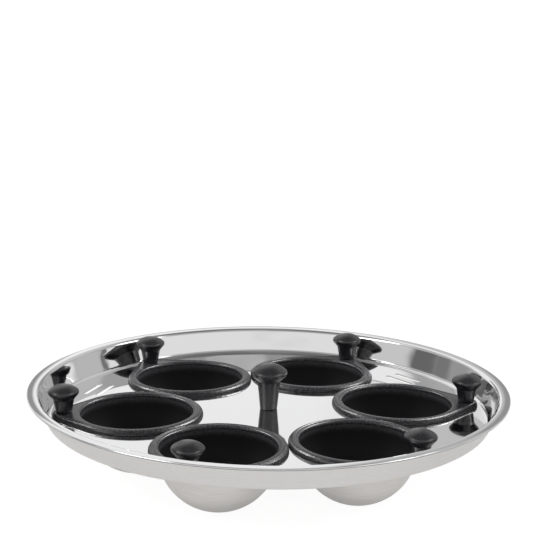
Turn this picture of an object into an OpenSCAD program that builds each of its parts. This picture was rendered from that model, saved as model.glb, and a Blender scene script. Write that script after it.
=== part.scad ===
// Egg poacher insert: a pressed steel tray that hangs by its rim in a wide pan and carries six
// lift-out egg cups. Millimetres, +Z up. The origin is the centre of the ring where the tray's
// flange sits on the pan's rim, so z = 0 is the underside of that flange. Cup 1 lies on +X.

/* [Tray] */
// Thickness of the tray's steel sheet
tray_t = 0.8; // [0.6:0.1:1.2]
// Depth of the tray, from the top of the flange to the lowest line of the floor, at its edge
tray_depth = 15.6; // [11:0.1:20]
// Fall of the floor from its centre to its edge, in degrees
floor_fall = 1; // [0:0.1:1.6]
// Lean of the tray's wall from the vertical
wall_draft = 20; // [8:1:30]
// Inside radius of the bend between floor and wall
floor_bend_r = 3; // [1.5:0.1:5]
// Top radius of the bend between wall and flange
rim_bend_r = 2.6; // [1.6:0.1:4]
// Width of the flange, from the centre of its bend to the outer edge
flange_w = 4.8; // [3:0.1:9]
// Radius of the rolled bead along the flange's edge
rim_bead_r = 0.65; // [0.6:0.05:1.2]
// Gap between the tip of a cup's tab and the start of the floor's bend
tab_tip_gap = 0.2; // [0.2:0.1:3]

/* [Steam slots] */
// Length of a steam slot, end to end
slot_l = 24; // [12:1:30]
// Width of a steam slot
slot_w = 3.2; // [2:0.1:3.8]
// Distance between the centrelines of the two slots of a pair
slot_pitch = 8.4; // [6:0.2:10]
// Distance of a slot pair's centre from the tray's centre, beyond the ring of cup centres
slot_out = 34.6; // [30:0.2:38]
// Turn of the slot pairs from cup 1
slot_turn = 30; // [28:1:32]

/* [Cups] */
// Outside diameter of a cup's round bowl
bowl_d = 69.6; // [60:0.2:76]
// Thickness of a cup's aluminium
cup_t = 1.1; // [1:0.1:1.4]
// Width of a cup's flange, from the bowl's outside to the flange's edge
cup_flange_w = 5.2; // [5.1:0.1:8]
// Radius over which a cup's mouth rounds into its bowl
mouth_r = 1.8; // [1.6:0.1:1.9]
// Gap between the flanges of two neighbouring cups
cup_gap = 0.4; // [0.4:0.1:3]
// Gap all round between a bowl and its hole in the tray
hole_gap = 1; // [0.6:0.1:1.6]
// Turn of each cup's tab away from straight outward, as the cups lie in the photograph
cup_turns = [-4, -14, 0, -5.7, 0, 9.3]; // [-15:0.1:15]

/* [Cup tabs] */
// Height of the flat of the flange and tab above the tray's floor
tab_h = 3; // [2.4:0.1:3.2]
// Distance of a knob's axis outside the cup's round edge
knob_out = 3.6; // [1:0.1:8]
// Radius of the tab's round tip, about the knob's axis
tab_tip_r = 7.4; // [7:0.1:10]
// Width of the raised edge's outer slope round the cup
slope_w = 3.3; // [2.6:0.1:3.4]
// Width of that slope round the tab's tip
tip_slope_w = 1.5; // [1.2:0.1:1.6]
// Rise of the edge's crest above the flat
crest_rise = 0.25; // [0.15:0.05:0.5]
// Width of the crest's inner slope, down to the flat
crest_in_w = 0.4; // [0.3:0.1:0.5]

/* [Cup knobs] */
// Height of a cup knob
knob_h = 17.3; // [15:0.1:24]
// Diameter of the cap
knob_cap_d = 18.8; // [16:0.1:22]
// Height of the cap's widest line
knob_wide_h = 12.6; // [12:0.1:13.6]
// Diameter of the stem at its foot
knob_foot_d = 9.8; // [8.6:0.1:10.6]
// Diameter of the stem under the cap
knob_neck_d = 12.6; // [11:0.1:14]
// Height of the stem
knob_neck_h = 8.2; // [6:0.1:9]

/* [Centre knob] */
// Height of the centre knob
centre_h = 28.4; // [26:0.1:40]
// Diameter of its cap
centre_cap_d = 22.5; // [18:0.1:28]
// Height of its cap's widest line
centre_wide_h = 22.6; // [21:0.1:23.6]
// Diameter of its stem at the foot
centre_foot_d = 10.5; // [9:0.1:12]
// Diameter of its stem under the cap
centre_neck_d = 13.8; // [12:0.1:16]
// Height of its stem
centre_neck_h = 17.6; // [12:0.1:18.2]

/* [Screws] */
// Diameter of the screws' shanks
screw_d = 4; // [3:0.1:4.6]
// Gap all round a shank in the sheet it passes through
screw_gap = 0.15; // [0.1:0.05:0.3]
// Gap all round a shank in its knob
thread_gap = 0.05; // [0.03:0.01:0.1]
// Depth that a screw reaches into its knob
screw_bite = 6.5; // [4:0.1:8]
// Depth of the knob's bore past the end of its screw
bore_spare = 0.8; // [0.4:0.1:1.5]
// Diameter of a cup screw's thin head
thin_head_d = 8; // [6:0.1:10]
// Thickness of that head
thin_head_t = 0.6; // [0.4:0.1:0.7]
// Diameter of the centre screw's domed head
dome_head_d = 8.4; // [7:0.1:10]
// Height of that head
dome_head_h = 2.4; // [1.5:0.1:3.5]
// Width of the driver slot in every head
driver_w = 1.1; // [0.8:0.1:1.4]
// Outside diameter of the centre washer
washer_d = 13; // [11:0.1:18]
// Thickness of the centre washer
washer_t = 0.8; // [0.5:0.1:1.5]

/* [Hidden] */
$fn = 96;
cups = 6;
slot_pairs = 3;
// Radius of a knob's rounded rim as a share of its cap's, and the arc that the rim runs through
rim_share = 0.2;
rim_low = -50;
rim_top = 40;
// Size of the small bevel round a knob's foot
foot_round = 0.5;
// Share of the tab's angle that the tip's points keep on the circle about the cup's axis
fan_share = 0.9;
// Steps of a quarter-turn bend, and steps round a cup's edge and round its tab's tip
bend_steps = 8;
rim_steps = 46;
tip_steps = 8;
slope_steps = 5;
// Width over which a cup's round part and its plate share the flat
lap = 0.4;
// How far a cutting tool runs past the face it cuts
past = 1;
// Radius of the level patch in the middle of the tray's floor, under the centre knob and washer
patch_r = 10;

bowl_r = bowl_d / 2;
bowl_in_r = bowl_r - cup_t;
cup_r = bowl_r + cup_flange_w;
ring_r = 2 * cup_r + cup_gap;
hole_r = bowl_r + hole_gap;
knob_x = cup_r + knob_out;
// Half the angle that the tab's tip spans: the straight edges touch both round ones here
tip_half = acos((cup_r - tab_tip_r) / knob_x);
tab_under = tab_h - cup_t;

floor_r = ring_r + knob_x + tab_tip_r + tab_tip_gap;
bend_z = tray_t - tray_depth + floor_bend_r;
rim_bend_z = tray_t - rim_bend_r;
// Length of the wall's straight stretch, from the height it has to climb between its bends
wall_l = (rim_bend_z - bend_z + (rim_bend_r + floor_bend_r) * sin(wall_draft)) / cos(wall_draft);
rim_bend_x = floor_r + (floor_bend_r + rim_bend_r) * cos(wall_draft) + wall_l * sin(wall_draft);
rim_r = rim_bend_x + flange_w;
patch_z = floor_z(patch_r);
hub_under = patch_z - tray_t;

// Height of the floor's upper face at distance x from the tray's axis: a line that meets the bend
function floor_z(x) = bend_z - floor_bend_r / cos(floor_fall) + (floor_r - x) * tan(floor_fall);

// Points of an arc about [x, z], from angle a to angle b
function arc(x, z, r, a, b, steps = bend_steps) =
    [for (i = [0:steps]) let (t = a + (b - a) * i / steps) [x + r * cos(t), z + r * sin(t)]];

// Half section of the tray: out along its upper face, round the bead and back underneath
function tray_section() = let (
    bead_x = rim_r - rim_bead_r,
    bead_z = tray_t - rim_bead_r,
    bead_end = -180 + asin(bead_z / rim_bead_r)
) concat(
    [[0, patch_z], [patch_r, patch_z]],
    arc(floor_r, bend_z, floor_bend_r, -90 - floor_fall, -wall_draft),
    arc(rim_bend_x, rim_bend_z, rim_bend_r, 180 - wall_draft, 90),
    arc(bead_x, bead_z, rim_bead_r, 90, bead_end, 2 * bend_steps),
    arc(rim_bend_x, rim_bend_z, rim_bend_r - tray_t, 90, 180 - wall_draft),
    arc(floor_r, bend_z, floor_bend_r + tray_t, -wall_draft, -90 - floor_fall),
    [[patch_r, hub_under], [0, hub_under]]
);

module slot(l, w, h) {
    cube([l - w, w, h], center = true);
    for (s = [-1, 1]) translate([s * (l - w) / 2, 0, 0]) cylinder(d = w, h = h, center = true);
}

module tray() {
    cut_low = bend_z - floor_bend_r - tray_t - past;
    cut_h = patch_z + past - cut_low;
    color([0.78, 0.78, 0.79]) difference() {
        rotate_extrude() polygon(tray_section());
        translate([0, 0, cut_low]) {
            cylinder(d = screw_d + 2 * screw_gap, h = cut_h);
            for (i = [1:cups]) rotate(turn(i)) translate([ring_r, 0, 0]) cylinder(r = hole_r, h = cut_h);
            for (i = [0:slot_pairs - 1], s = [-1, 1])
                rotate(slot_turn + i * 360 / slot_pairs)
                    translate([ring_r + slot_out + s * slot_pitch / 2, 0, cut_h / 2])
                        rotate(90) slot(slot_l, slot_w, cut_h);
        }
    }
}

// Angle of cup i round the tray
function turn(i) = (i - 1) * 360 / cups;

// Moves a shape drawn about a cup's own axis, with z = 0 on the tray's floor, to cup i's place. The
// cup leans outward with the floor it stands on.
module at_cup(i) {
    rotate(turn(i)) translate([ring_r, 0, floor_z(ring_r)])
        rotate([0, floor_fall, 0]) rotate(cup_turns[i - 1]) children();
}

// Path round the tab's tip and then round the cup, inside their edge by a share of the edge's outer
// slope, which is narrower round the tip, and by a further distance that is the same all round
function edge_path(share, more) = concat(
    [for (p = arc(0, 0, tab_tip_r - share * tip_slope_w - more, -tip_half, tip_half, tip_steps))
        p + [knob_x, 0]],
    arc(0, 0, cup_r - share * slope_w - more, tip_half, 360 - tip_half, rim_steps)
);

// A circle about the cup's axis with a point for each of edge_path's
function eye_path(r) = concat(
    arc(0, 0, r, -fan_share * tip_half, fan_share * tip_half, tip_steps),
    arc(0, 0, r, tip_half, 360 - tip_half, rim_steps)
);

function lift(path, z) = [for (p = path) [p[0], p[1], z]];

// The pressed sheet between mouth and edge, as one closed skin through rings of equal count. The
// edge stands on a foot, slopes up to a crest and drops to the flat; underneath the sheet is hollow.
module cup_plate(eye_r) {
    crest_h = tab_h + crest_rise;
    corner = cup_t / 4;
    slope = [for (a = [0:90 / slope_steps:90])
                lift(edge_path(1 - cos(a), 0), corner + (crest_h - corner) * sin(a))];
    rings = concat(
        [lift(eye_path(eye_r), tab_under),
         lift(edge_path(1, crest_in_w), tab_under),
         lift(edge_path(1, 0), crest_h - cup_t),
         lift(edge_path(0, cup_t), 0),
         lift(edge_path(0, corner), 0)],
        slope,
        [lift(edge_path(1, crest_in_w), tab_h),
         lift(eye_path(eye_r), tab_h)]
    );
    n = len(rings[0]);
    m = len(rings);
    polyhedron(
        points = [for (r = rings) each r],
        faces = [for (k = [0:m - 1], i = [0:n - 1]) let (k2 = (k + 1) % m, i2 = (i + 1) % n)
                 [k * n + i, k2 * n + i, k2 * n + i2, k * n + i2]],
        convexity = 6
    );
}

// Half section of the round part: up inside the bowl, over the mouth, back under it and down
function bowl_section(lap_r) = let (
    mouth_x = bowl_in_r + mouth_r,
    mouth_z = tab_h - mouth_r
) concat(
    arc(0, 0, bowl_in_r, -90, 0, 3 * bend_steps),
    arc(mouth_x, mouth_z, mouth_r, 180, 90),
    [[lap_r, tab_h], [lap_r, tab_under]],
    arc(mouth_x, mouth_z, mouth_r - cup_t, 90, 180, bend_steps / 2),
    arc(0, 0, bowl_r, 0, -90, 3 * bend_steps)
);

module cup(i) {
    eye_r = bowl_in_r + mouth_r + lap / 2;
    color([0.13, 0.13, 0.14]) at_cup(i) difference() {
        union() {
            rotate_extrude() polygon(bowl_section(eye_r + lap));
            cup_plate(eye_r);
        }
        translate([knob_x, 0, tab_under - past]) cylinder(d = screw_d + 2 * screw_gap, h = cup_t + 2 * past);
    }
}

// A moulded knob on its foot at z = 0: tapered stem, flared underside, rounded rim, domed top
module knob(h, cap_d, wide_h, foot_d, neck_d, neck_h) {
    cap_r = cap_d / 2;
    lip_r = cap_r * rim_share;
    lip_x = cap_r - lip_r;
    dome_r = lip_x + lip_r * cos(rim_top);
    dome_z = wide_h + lip_r * sin(rim_top);
    sag = h - dome_z;
    ball_r = (dome_r * dome_r + sag * sag) / (2 * sag);
    dome_half = asin(dome_r / ball_r);
    section = concat(
        [[0, 0], [foot_d / 2 - foot_round, 0], [foot_d / 2, foot_round], [neck_d / 2, neck_h]],
        arc(lip_x, wide_h, lip_r, rim_low, rim_top),
        arc(0, h - ball_r, ball_r, 90 - dome_half, 90, 2 * bend_steps)
    );
    color([0.1, 0.1, 0.11]) difference() {
        rotate_extrude() polygon(section);
        translate([0, 0, -past]) cylinder(d = screw_d + 2 * thread_gap, h = past + screw_bite + bore_spare);
    }
}

module centre_knob() {
    translate([0, 0, patch_z]) knob(centre_h, centre_cap_d, centre_wide_h, centre_foot_d, centre_neck_d,
                                    centre_neck_h);
}

module cup_knob(i) {
    at_cup(i) translate([knob_x, 0, tab_h]) knob(knob_h, knob_cap_d, knob_wide_h, knob_foot_d,
                                                knob_neck_d, knob_neck_h);
}

// A washer under the floor spreads the centre screw's load over the thin sheet
module centre_washer() {
    color([0.7, 0.7, 0.71]) translate([0, 0, hub_under - washer_t]) difference() {
        cylinder(d = washer_d, h = washer_t);
        translate([0, 0, -past]) cylinder(d = screw_d + 2 * screw_gap, h = washer_t + 2 * past);
    }
}

module driver_slot(head_d, depth) {
    translate([0, 0, depth / 2 - past / 2]) cube([head_d + 2 * past, driver_w, depth + past], center = true);
}

module centre_screw() {
    grip = washer_t + tray_t;
    head_r = dome_head_d / 2;
    ball_r = (head_r * head_r + dome_head_h * dome_head_h) / (2 * dome_head_h);
    color([0.7, 0.7, 0.71]) translate([0, 0, hub_under - washer_t - dome_head_h]) difference() {
        union() {
            intersection() {
                translate([0, 0, ball_r]) sphere(ball_r);
                cylinder(r = head_r, h = dome_head_h);
            }
            translate([0, 0, dome_head_h / 2]) cylinder(d = screw_d, h = dome_head_h / 2 + grip + screw_bite);
        }
        driver_slot(dome_head_d, dome_head_h / 2);
    }
}

// A thin flat head, because the tab leaves little room above the tray's floor
module cup_screw(i) {
    color([0.7, 0.7, 0.71]) at_cup(i) translate([knob_x, 0, tab_under - thin_head_t]) difference() {
        union() {
            cylinder(d = thin_head_d, h = thin_head_t);
            cylinder(d = screw_d, h = thin_head_t + cup_t + screw_bite);
        }
        driver_slot(thin_head_d, thin_head_t / 2);
    }
}

tray();
centre_knob();
centre_washer();
centre_screw();
for (i = [1:cups]) {
    cup(i);
    cup_knob(i);
    cup_screw(i);
}
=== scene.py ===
import bpy
import math
from mathutils import Matrix, Vector

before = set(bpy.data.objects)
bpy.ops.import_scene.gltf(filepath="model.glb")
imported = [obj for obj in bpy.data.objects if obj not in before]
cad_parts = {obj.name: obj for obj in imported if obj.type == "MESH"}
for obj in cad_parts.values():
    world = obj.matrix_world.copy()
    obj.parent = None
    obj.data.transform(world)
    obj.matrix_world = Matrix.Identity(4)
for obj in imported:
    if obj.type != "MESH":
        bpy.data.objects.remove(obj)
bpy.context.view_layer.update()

MM = 0.001
WHITE = (1, 1, 1, 1)

# Sizes of the solids that the materials and the floor follow
CUPS = 6
RING_R = 80.4 * MM        # from the tray's axis to the cups' centres
SEAT_Z = -13.907 * MM     # height of the sloping floor at that distance
FALL = math.radians(1)    # slope of the floor, by which each cup leans outward
SKIN_R = 34.25 * MM       # between the bowl's inner and outer radius
BOWL_LOW = -48.71 * MM    # lowest point of the bowls
RIM_TOP = 0.8 * MM        # top of the tray's flange
CROWN_R = 141.4 * MM      # where the flange starts to fall away
BEAD_IN = 145.2 * MM      # the rolled bead, from here
BEAD_MID = 145.5 * MM     # to the middle of its tube

# The photograph's camera, fitted to the rim, the cups and the knobs
PHOTO_PX = 540
FOCAL_PX = 1577.12
RIM_CENTRE_PX = (268.81, 387.06)
DISTANCE = 963.72 * MM
RISE = math.radians(16.91)
ROLL = math.radians(0.88)
TURN_ANGLE = math.radians(-9.78)
TURN = Matrix.Rotation(TURN_ANGLE, 3, "Z")
SENSOR = 36


# Camera
def camera():
    """Look at the rim's centre, then swing so that it falls where the photograph has it."""
    place = Vector((0, -DISTANCE * math.cos(RISE), DISTANCE * math.sin(RISE)))
    forward = -place.normalized()
    right = forward.cross(Vector((0, 0, 1))).normalized()
    down = forward.cross(right)
    middle = PHOTO_PX / 2
    u, v = RIM_CENTRE_PX
    aim = Vector(((u - middle) / FOCAL_PX, (v - middle) / FOCAL_PX, 1)).normalized()
    to_aim = Vector((0, 0, 1)).rotation_difference(aim).to_matrix()
    look = to_aim @ Matrix.Rotation(ROLL, 3, "Z") @ Matrix((right, down, forward))
    axes = Matrix((TURN @ look[0], -(TURN @ look[1]), -(TURN @ look[2]))).transposed()
    data = bpy.data.cameras.new("camera")
    data.sensor_width = SENSOR
    data.lens = FOCAL_PX / PHOTO_PX * SENSOR
    data.clip_start = 0.05
    data.clip_end = 30
    cam = bpy.data.objects.new("camera", data)
    bpy.context.collection.objects.link(cam)
    spot = TURN @ place + Vector((0, 0, RIM_TOP))
    cam.matrix_world = Matrix.Translation(spot) @ axes.to_4x4()
    bpy.context.scene.camera = cam


# Node helpers
class Nodes:
    """Short forms for the nodes of one material or world."""

    def __init__(self, tree):
        self.tree = tree
        tree.nodes.clear()

    def add(self, kind, **values):
        node = self.tree.nodes.new(kind)
        for name, value in values.items():
            setattr(node, name, value)
        return node

    def link(self, a, b):
        self.tree.links.new(a, b)

    def put(self, socket, value):
        if isinstance(value, bpy.types.NodeSocket):
            self.link(value, socket)
        else:
            socket.default_value = value

    def math(self, operation, *values):
        node = self.add("ShaderNodeMath", operation=operation)
        for socket, value in zip(node.inputs, values):
            self.put(socket, value)
        return node.outputs[0]

    def times(self, a, b):
        return self.math("MULTIPLY", a, b)

    def vector(self, operation, *values, out=0):
        node = self.add("ShaderNodeVectorMath", operation=operation)
        for socket, value in zip(node.inputs, values):
            self.put(socket, value)
        return node.outputs[out]

    def split(self, vector):
        node = self.add("ShaderNodeSeparateXYZ")
        self.link(vector, node.inputs[0])
        return node.outputs

    def join(self, x, y, z):
        node = self.add("ShaderNodeCombineXYZ")
        for socket, value in zip(node.inputs, (x, y, z)):
            self.put(socket, value)
        return node.outputs[0]

    def map(self, value, low, high, at_low, at_high):
        """A smooth step from at_low to at_high."""
        node = self.add("ShaderNodeMapRange", interpolation_type="SMOOTHSTEP")
        for socket, number in zip(node.inputs, (value, low, high, at_low, at_high)):
            self.put(socket, number)
        return node.outputs[0]

    def between(self, value, low, high, soft):
        """1 between low and high, with soft edges, and 0 outside."""
        return self.times(self.map(value, low - soft, low + soft, 0, 1),
                          self.map(value, high - soft, high + soft, 1, 0))

    def spread(self, noise, at_low, at_high):
        """Noise stays near its middle, so its middle is stretched over the range."""
        return self.map(noise, 0.3, 0.7, at_low, at_high)

    def mix(self, share, a, b):
        """Blend two colours."""
        node = self.add("ShaderNodeMix", data_type="RGBA")
        self.put(node.inputs[0], share)
        self.put(node.inputs[6], (*a, 1) if isinstance(a, tuple) else a)
        self.put(node.inputs[7], (*b, 1) if isinstance(b, tuple) else b)
        return node.outputs[2]

    def blend(self, share, a, b):
        """Blend two numbers."""
        node = self.add("ShaderNodeMix", data_type="FLOAT")
        self.put(node.inputs[0], share)
        self.put(node.inputs[2], a)
        self.put(node.inputs[3], b)
        return node.outputs[0]

    def noise(self, place, scale, detail, roughness=0.5):
        node = self.add("ShaderNodeTexNoise")
        self.link(place, node.inputs["Vector"])
        node.inputs["Scale"].default_value = scale
        node.inputs["Detail"].default_value = detail
        node.inputs["Roughness"].default_value = roughness
        return node.outputs[0]

    def bump(self, height, strength, distance, normal=None):
        node = self.add("ShaderNodeBump")
        self.put(node.inputs["Strength"], strength)
        self.put(node.inputs["Distance"], distance)
        self.link(height, node.inputs["Height"])
        if normal is not None:
            self.link(normal, node.inputs["Normal"])
        return node.outputs[0]

    def place(self):
        """The point in the frame's own axes, with its origin on the tray's axis."""
        return self.add("ShaderNodeTexCoord").outputs["Object"]


def material(name):
    made = bpy.data.materials.new(name)
    made.use_nodes = True
    n = Nodes(made.node_tree)
    out = n.add("ShaderNodeOutputMaterial")
    shader = n.add("ShaderNodeBsdfPrincipled")
    n.link(shader.outputs[0], out.inputs[0])
    return made, n, shader.inputs


# Materials
def tray_steel():
    """Mirror-bright inside, satin outside, with polishing lines that run round."""
    polished = (0.79, 0.79, 0.795)
    satin = (0.82, 0.797, 0.768)
    painted_bead_shade = (0.2, 0.2, 0.2)
    made, n, shader = material("tray_steel")
    x, y, z = n.split(n.place())
    turn = n.math("ARCTAN2", y, x)
    radius = n.math("SQRT", n.math("ADD", n.times(x, x), n.times(y, y)))
    up = n.split(n.add("ShaderNodeNewGeometry").outputs["True Normal"])[2]
    outside = n.math("LESS_THAN", up, -0.02)
    wall = n.times(n.map(up, 0.5, 0.9, 1, 0), n.math("SUBTRACT", 1, outside))
    lines = n.noise(n.join(n.times(turn, 0.9), n.times(radius, 2500), n.times(z, 2500)), 1, 3)
    waves = n.noise(n.join(n.times(turn, 7), n.times(radius, 60), n.times(z, 60)), 1, 1)

    # Painted shade: the underside of the rolled bead is darkened to stand in for the shadow along it
    under = n.times(n.map(radius, BEAD_IN, BEAD_MID, 0, 1), n.map(up, -0.35, -0.1, 1, 0))
    sheet = n.mix(n.times(outside, n.spread(lines, 0.2, 1)), polished, satin)
    shader["Metallic"].default_value = 1
    n.put(shader["Base Color"], n.mix(under, sheet, painted_bead_shade))
    n.put(shader["Roughness"], n.blend(outside, n.spread(waves, 0.03, 0.05), n.spread(lines, 0.27, 0.33)))

    # Fine lines everywhere, a flange that falls away to its edge, slow waves in the pressed wall
    fine = n.bump(lines, n.blend(outside, 0.02, 0.05), 0.02 * MM)
    past = n.math("MAXIMUM", n.math("SUBTRACT", radius, CROWN_R), 0)
    crown = n.bump(n.times(n.times(past, past), -20), 1, 1, fine)
    n.put(shader["Normal"], n.bump(waves, n.blend(wall, 0.05, 1), 0.3 * MM, crown))
    return made


def cup_metal(number):
    """Grainy black coating inside and on the flange, bare spun aluminium on the bowl outside."""
    coat_dark = (0.013, 0.013, 0.0148)
    coat_speck = (0.09, 0.09, 0.095)
    coat_painted_shade = (0.0012, 0.0012, 0.0014)
    coat_painted_sheen = (0.06, 0.06, 0.064)
    bare_light = (0.83, 0.812, 0.785)
    bare_dark = (0.76, 0.742, 0.715)
    made, n, shader = material(f"cup_coated_{number}")
    angle = 2 * math.pi / CUPS * (number - 1)
    outward = Vector((math.cos(angle), math.sin(angle), 0))
    centre = outward * RING_R + Vector((0, 0, SEAT_Z))
    axis = tuple(outward * math.sin(FALL) + Vector((0, 0, math.cos(FALL))))
    place = n.place()
    local = n.vector("SUBTRACT", place, tuple(centre))
    from_centre = n.vector("LENGTH", local, out=1)
    height = n.vector("DOT_PRODUCT", local, axis, out=1)
    grain = n.noise(place, 1300, 3, 0.6)
    spun = n.noise(n.vector("MULTIPLY", place, (80, 80, 2600)), 1, 3)

    # Black above the tray's floor and inside the bowl's skin; painted shade darkens the coat lower down
    # in the bowl, and the same mask makes it rougher there
    black = n.math("MAXIMUM", n.math("GREATER_THAN", height, 0.02 * MM),
                   n.math("LESS_THAN", from_centre, SKIN_R))
    painted_depth_shade = n.times(n.map(height, -4.5 * MM, 0.6 * MM, 1, 0), black)
    coat = n.mix(painted_depth_shade, n.mix(n.map(grain, 0.54, 0.7, 0, 1), coat_dark, coat_speck), coat_painted_shade)

    # Painted sheen: the coat is lightened just inside the opening to stand in for a highlight there
    mouth_sheen_mask = n.times(n.map(height, -2.8 * MM, 0, 0, 1), n.map(height, 0.5 * MM, 1.2 * MM, 1, 0))
    coat = n.mix(n.times(mouth_sheen_mask, n.map(grain, 0.35, 0.65, 0.3, 1)), coat, coat_painted_sheen)

    # Painted shade: the bare bowl is darkened towards its bottom
    shade = n.map(height, -31 * MM, -16 * MM, 0.74, 1)
    bare = n.vector("MULTIPLY", n.mix(n.spread(spun, 0, 1), bare_light, bare_dark),
                    n.join(shade, shade, shade))
    coat_rough = n.blend(painted_depth_shade, n.spread(grain, 0.22, 0.36), 0.85)
    n.put(shader["Metallic"], n.blend(black, 1, 0))
    n.put(shader["Base Color"], n.mix(black, bare, coat))
    n.put(shader["Roughness"], n.blend(black, n.spread(spun, 0.3, 0.38), coat_rough))
    shader["Specular IOR Level"].default_value = 0.38

    # Brushed round the cup's own axis
    shader["Anisotropic"].default_value = 0.6
    n.link(n.vector("NORMALIZE", n.vector("CROSS_PRODUCT", local, axis)), shader["Tangent"])
    n.put(shader["Normal"], n.bump(n.blend(black, spun, grain), n.blend(black, 0.1, 0.45), 0.04 * MM))
    return made


def knob_plastic():
    made, n, shader = material("knob_plastic")
    grain = n.noise(n.place(), 1500, 3, 0.6)
    tone = n.mix(n.map(grain, 0.35, 0.7, 0, 1), (0.007, 0.007, 0.009), (0.017, 0.017, 0.0205))
    n.put(shader["Base Color"], tone)
    n.put(shader["Roughness"], n.spread(grain, 0.26, 0.36))
    shader["Specular IOR Level"].default_value = 0.85
    n.put(shader["Normal"], n.bump(grain, 0.15, 0.03 * MM))
    return made


def screw_steel():
    made, n, shader = material("screw_steel")
    scuff = n.noise(n.place(), 900, 3)
    shader["Metallic"].default_value = 1
    n.put(shader["Base Color"], n.mix(scuff, (0.64, 0.64, 0.65), (0.54, 0.54, 0.55)))
    n.put(shader["Roughness"], n.spread(scuff, 0.24, 0.38))
    return made


def dress():
    """Give each solid its material."""
    knob = knob_plastic()
    screw = screw_steel()
    chosen = {"tray": tray_steel(), "centre_knob": knob, "centre_screw": screw, "centre_washer": screw}
    for number in range(1, CUPS + 1):
        chosen[f"cup_{number}"] = cup_metal(number)
        chosen[f"cup_knob_{number}"] = knob
        chosen[f"cup_screw_{number}"] = screw
    for name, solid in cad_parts.items():
        for slot in solid.material_slots:
            slot.material = chosen[name]


# Floor and light
def floor():
    """A pale floor just under the bowls, white to the camera."""
    half = 6
    mesh = bpy.data.meshes.new("floor")
    mesh.from_pydata([(-half, -half, 0), (half, -half, 0), (half, half, 0), (-half, half, 0)],
                     [], [(0, 1, 2, 3)])
    made = bpy.data.materials.new("floor_white")
    made.use_nodes = True
    n = Nodes(made.node_tree)
    out = n.add("ShaderNodeOutputMaterial")
    lit = n.add("ShaderNodeBsdfDiffuse")
    glow = n.add("ShaderNodeEmission")
    both = n.add("ShaderNodeMixShader")
    seen = n.add("ShaderNodeLightPath").outputs["Is Camera Ray"]
    lit.inputs["Color"].default_value = (0.9, 0.9, 0.9, 1)
    n.put(glow.inputs["Strength"], n.blend(seen, 1.5, 1.15))
    n.put(both.inputs[0], n.blend(seen, 0.18, 0.8))
    n.link(lit.outputs[0], both.inputs[1])
    n.link(glow.outputs[0], both.inputs[2])
    n.link(both.outputs[0], out.inputs[0])
    mesh.materials.append(made)
    sheet = bpy.data.objects.new("floor", mesh)
    sheet.location.z = BOWL_LOW - 0.2 * MM
    bpy.context.collection.objects.link(sheet)


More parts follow.
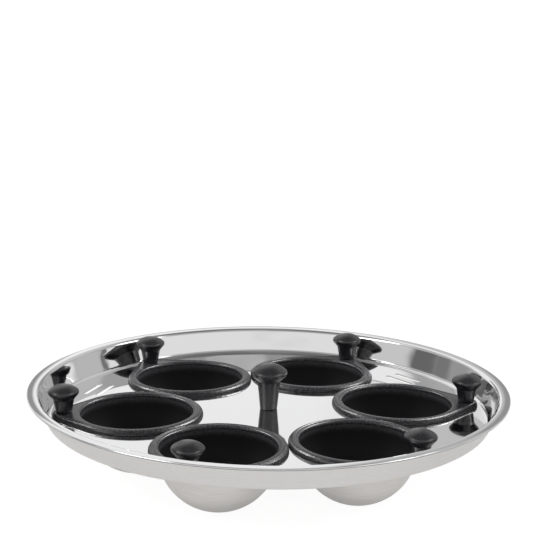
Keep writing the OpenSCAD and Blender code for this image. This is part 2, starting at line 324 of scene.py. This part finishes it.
def studio():
    """A studio drawn by direction, in degrees: azimuth 0 lies behind the object as the photograph
    sees it, 90 to the right and 180 behind the camera."""
    world = bpy.data.worlds.new("studio")
    bpy.context.scene.world = world
    world.use_nodes = True
    n = Nodes(world.node_tree)
    out = n.add("ShaderNodeOutputWorld")
    light = n.add("ShaderNodeBackground")
    backdrop = n.add("ShaderNodeBackground")
    both = n.add("ShaderNodeMixShader")
    seen = n.add("ShaderNodeLightPath").outputs["Is Camera Ray"]
    backdrop.inputs["Color"].default_value = WHITE
    backdrop.inputs["Strength"].default_value = 1
    n.link(seen, both.inputs[0])
    n.link(light.outputs[0], both.inputs[1])
    n.link(backdrop.outputs[0], both.inputs[2])
    n.link(both.outputs[0], out.inputs[0])

    turned = n.add("ShaderNodeVectorRotate", rotation_type="Z_AXIS")
    n.link(n.add("ShaderNodeTexCoord").outputs["Generated"], turned.inputs["Vector"])
    turned.inputs["Angle"].default_value = -TURN_ANGLE
    x, y, z = n.split(turned.outputs[0])
    rise = n.times(n.math("ARCSINE", z), math.degrees(1))
    signed = n.times(n.math("ARCTAN2", x, y), math.degrees(1))
    around = n.math("MODULO", n.math("ADD", signed, 360), 360)

    # Each panel: the angle it is given in, its two azimuths, its two heights, soft edge, brightness
    panels = [
        (around, -20, 380, 84, 100, 5, 0.5),
        (signed, -42, 5, 4, 58, 3, 1.24),
        (signed, 6, 9.8, 6, 24, 1.5, 0.75),
        (signed, 10.5, 24, 2, 24, 1.5, 0.42),
        (signed, -22, -10, 2, 22, 1.5, 0.42),
        (signed, 17, 60, 24, 48, 5, 0.85),
        (around, 46, 60, -8, 6, 1.5, 1.15),
        (around, 60, 79, 2, 18, 2, 0.72),
        (around, 80, 83.5, 8, 18, 0.8, 0.25),
        (around, 83.5, 92, 8, 20, 1, 1.1),
        (around, 92, 222, 11, 28, 4, 1.12),
        (around, 222, 262, 11, 26, 4, 0.86),
        (around, 263, 280, -5, 20, 3, 0.2),
        (around, 278, 293, -5, 18, 4, 0.27),
        (around, 291, 306, -5, 18, 5, 0.45),
        (around, 282, 316, 20, 40, 4, 0.72),
        (around, 240, 284, 42, 56, 4, 1.5),
        (around, 228, 262, 28, 42, 3, 6.0),
        (around, 84, 116, 29, 41, 4, 6.0),
        (around, 222, 250, -8, 8, 4, 2.4),
        (around, 112, 140, -8, 8, 4, 2.4),
        (around, 134, 178, 51, 64, 4, 0.8),
        (around, 178, 200, 51, 64, 4, 0.52),
    ]
    tone = n.map(rise, 42, 70, 0.62, 0.26)
    for angle, side_1, side_2, low, high, soft, brightness in panels:
        share = n.times(n.between(angle, side_1, side_2, soft), n.between(rise, low, high, soft))
        tone = n.blend(share, tone, brightness)
    n.link(tone, light.inputs["Strength"])


def sheen_lamp(azimuth, rise, size, power, lit):
    """A soft lamp behind the object that lights only the cups, for the grainy sheen on their rims."""
    distance = 1.5
    data = bpy.data.lights.new("sheen", "AREA")
    data.size = size
    data.energy = power
    lamp = bpy.data.objects.new("sheen", data)
    a = math.radians(azimuth)
    b = math.radians(rise)
    way = Vector((math.sin(a) * math.cos(b), math.cos(a) * math.cos(b), math.sin(b)))
    lamp.location = TURN @ way * distance
    lamp.rotation_mode = "QUATERNION"
    lamp.rotation_quaternion = lamp.location.to_track_quat("Z", "Y")
    lamp.light_linking.receiver_collection = lit
    bpy.context.collection.objects.link(lamp)


def light_cups():
    cups = bpy.data.collections.new("cups")
    for number in range(1, CUPS + 1):
        cups.objects.link(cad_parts[f"cup_{number}"])
    sheen_lamp(52, 45, 0.5, 22, cups)
    sheen_lamp(-62, 43, 0.4, 13, cups)


camera()
dress()
floor()
studio()
light_cups()
bpy.context.scene.view_settings.view_transform = "Standard"
bpy.context.scene.view_settings.look = "None"
